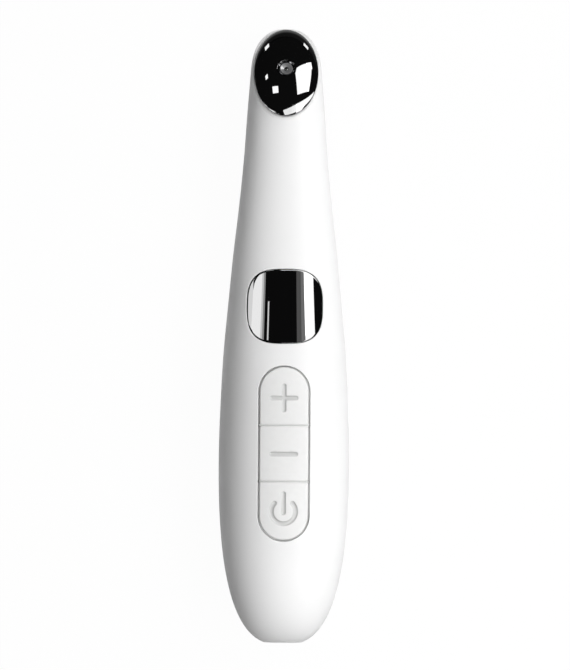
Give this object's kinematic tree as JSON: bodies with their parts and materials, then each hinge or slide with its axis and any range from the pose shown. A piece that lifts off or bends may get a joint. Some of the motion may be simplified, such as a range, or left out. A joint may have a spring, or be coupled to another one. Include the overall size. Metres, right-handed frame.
{
  "type": "facial massager",
  "caption": "Hand-held massager wand with a leaning oval head, a centre light, a small display window and three keys.",
  "frame": {"origin": "under the middle of the body, at the height of the flat on its back", "axes": "+Y towards the treatment head, +Z out of the front with the keys, +X to the right"},
  "size_m": [0.033, 0.155, 0.0253],
  "materials": {
    "white_plastic": "gloss white moulded plastic",
    "black_gloss": "deep black mirror gloss over metal",
    "black_glass": "glossy black acrylic window",
    "grey_keys": "fine matte warm grey",
    "bright_steel": "bright plated steel",
    "socket_steel": "plain formed steel",
    "heater_aluminium": "plain sheet",
    "light_plastic": "clear to milky light pipe",
    "black_rubber": "soft black rubber",
    "dark_plastic": "plain dark moulding",
    "board_green": "green circuit board",
    "chip_black": "black component bodies",
    "battery_foil": "silver pouch foil",
    "foam_grey": "soft foam pad",
    "ribbon_amber": "amber flat cable",
    "lead_red": "red insulation",
    "lead_black": "black insulation"
  },
  "bodies": {
    "housing": {"front_housing": "white_plastic", "rear_housing": "white_plastic", "treatment_head": "black_gloss", "head_seal": "black_rubber", "light_ring": "bright_steel", "light_lens": "light_plastic", "heater_plate": "heater_aluminium", "head_board": "board_green", "head_led": "light_plastic", "temperature_sensor": "chip_black", "head_carrier": "dark_plastic", "display_window": "black_glass", "display_gasket": "black_rubber", "display_holder": "dark_plastic", "display_panel": "chip_black", "display_ribbon": "ribbon_amber", "plus_switch": "chip_black", "minus_switch": "chip_black", "power_switch": "chip_black", "button_guide": "dark_plastic", "main_board": "board_green", "board_screw_1": "bright_steel", "board_screw_2": "bright_steel", "board_screw_3": "bright_steel", "board_screw_4": "bright_steel", "control_chip": "chip_black", "boost_inductor": "chip_black", "battery_connector": "light_plastic", "battery_lead_red": "lead_red", "battery_lead_black": "lead_black", "charging_socket": "socket_steel", "socket_tongue": "dark_plastic", "battery_cell": "battery_foil", "battery_pad": "foam_grey", "vibration_motor": "socket_steel", "motor_sleeve": "black_rubber", "motor_lead_red": "lead_red", "motor_lead_black": "lead_black", "head_ribbon": "ribbon_amber"},
    "plus_key": {"plus_button": "grey_keys", "plus_plunger": "bright_steel"},
    "minus_key": {"minus_button": "grey_keys", "minus_plunger": "bright_steel"},
    "power_key": {"power_button": "grey_keys", "power_plunger": "bright_steel"},
    "motor_rotor": {"motor_shaft": "socket_steel", "eccentric_weight": "socket_steel"}
  },
  "joints": [
    {"name": "plus_press", "type": "slide", "parent": "housing", "child": "plus_key", "axis": [0, 0, -1], "range_m": [0, 0.0004], "stiffness_N_per_m": 1500},
    {"name": "minus_press", "type": "slide", "parent": "housing", "child": "minus_key", "axis": [0, 0, -1], "range_m": [0, 0.0004], "stiffness_N_per_m": 1500},
    {"name": "power_press", "type": "slide", "parent": "housing", "child": "power_key", "axis": [0, 0, -1], "range_m": [0, 0.0004], "stiffness_N_per_m": 1500},
    {"name": "motor_spin", "type": "hinge", "parent": "housing", "child": "motor_rotor", "pos_m": [0, 0.03366, 0.01184], "axis": [0, 1, 0], "continuous": true}
  ]
}
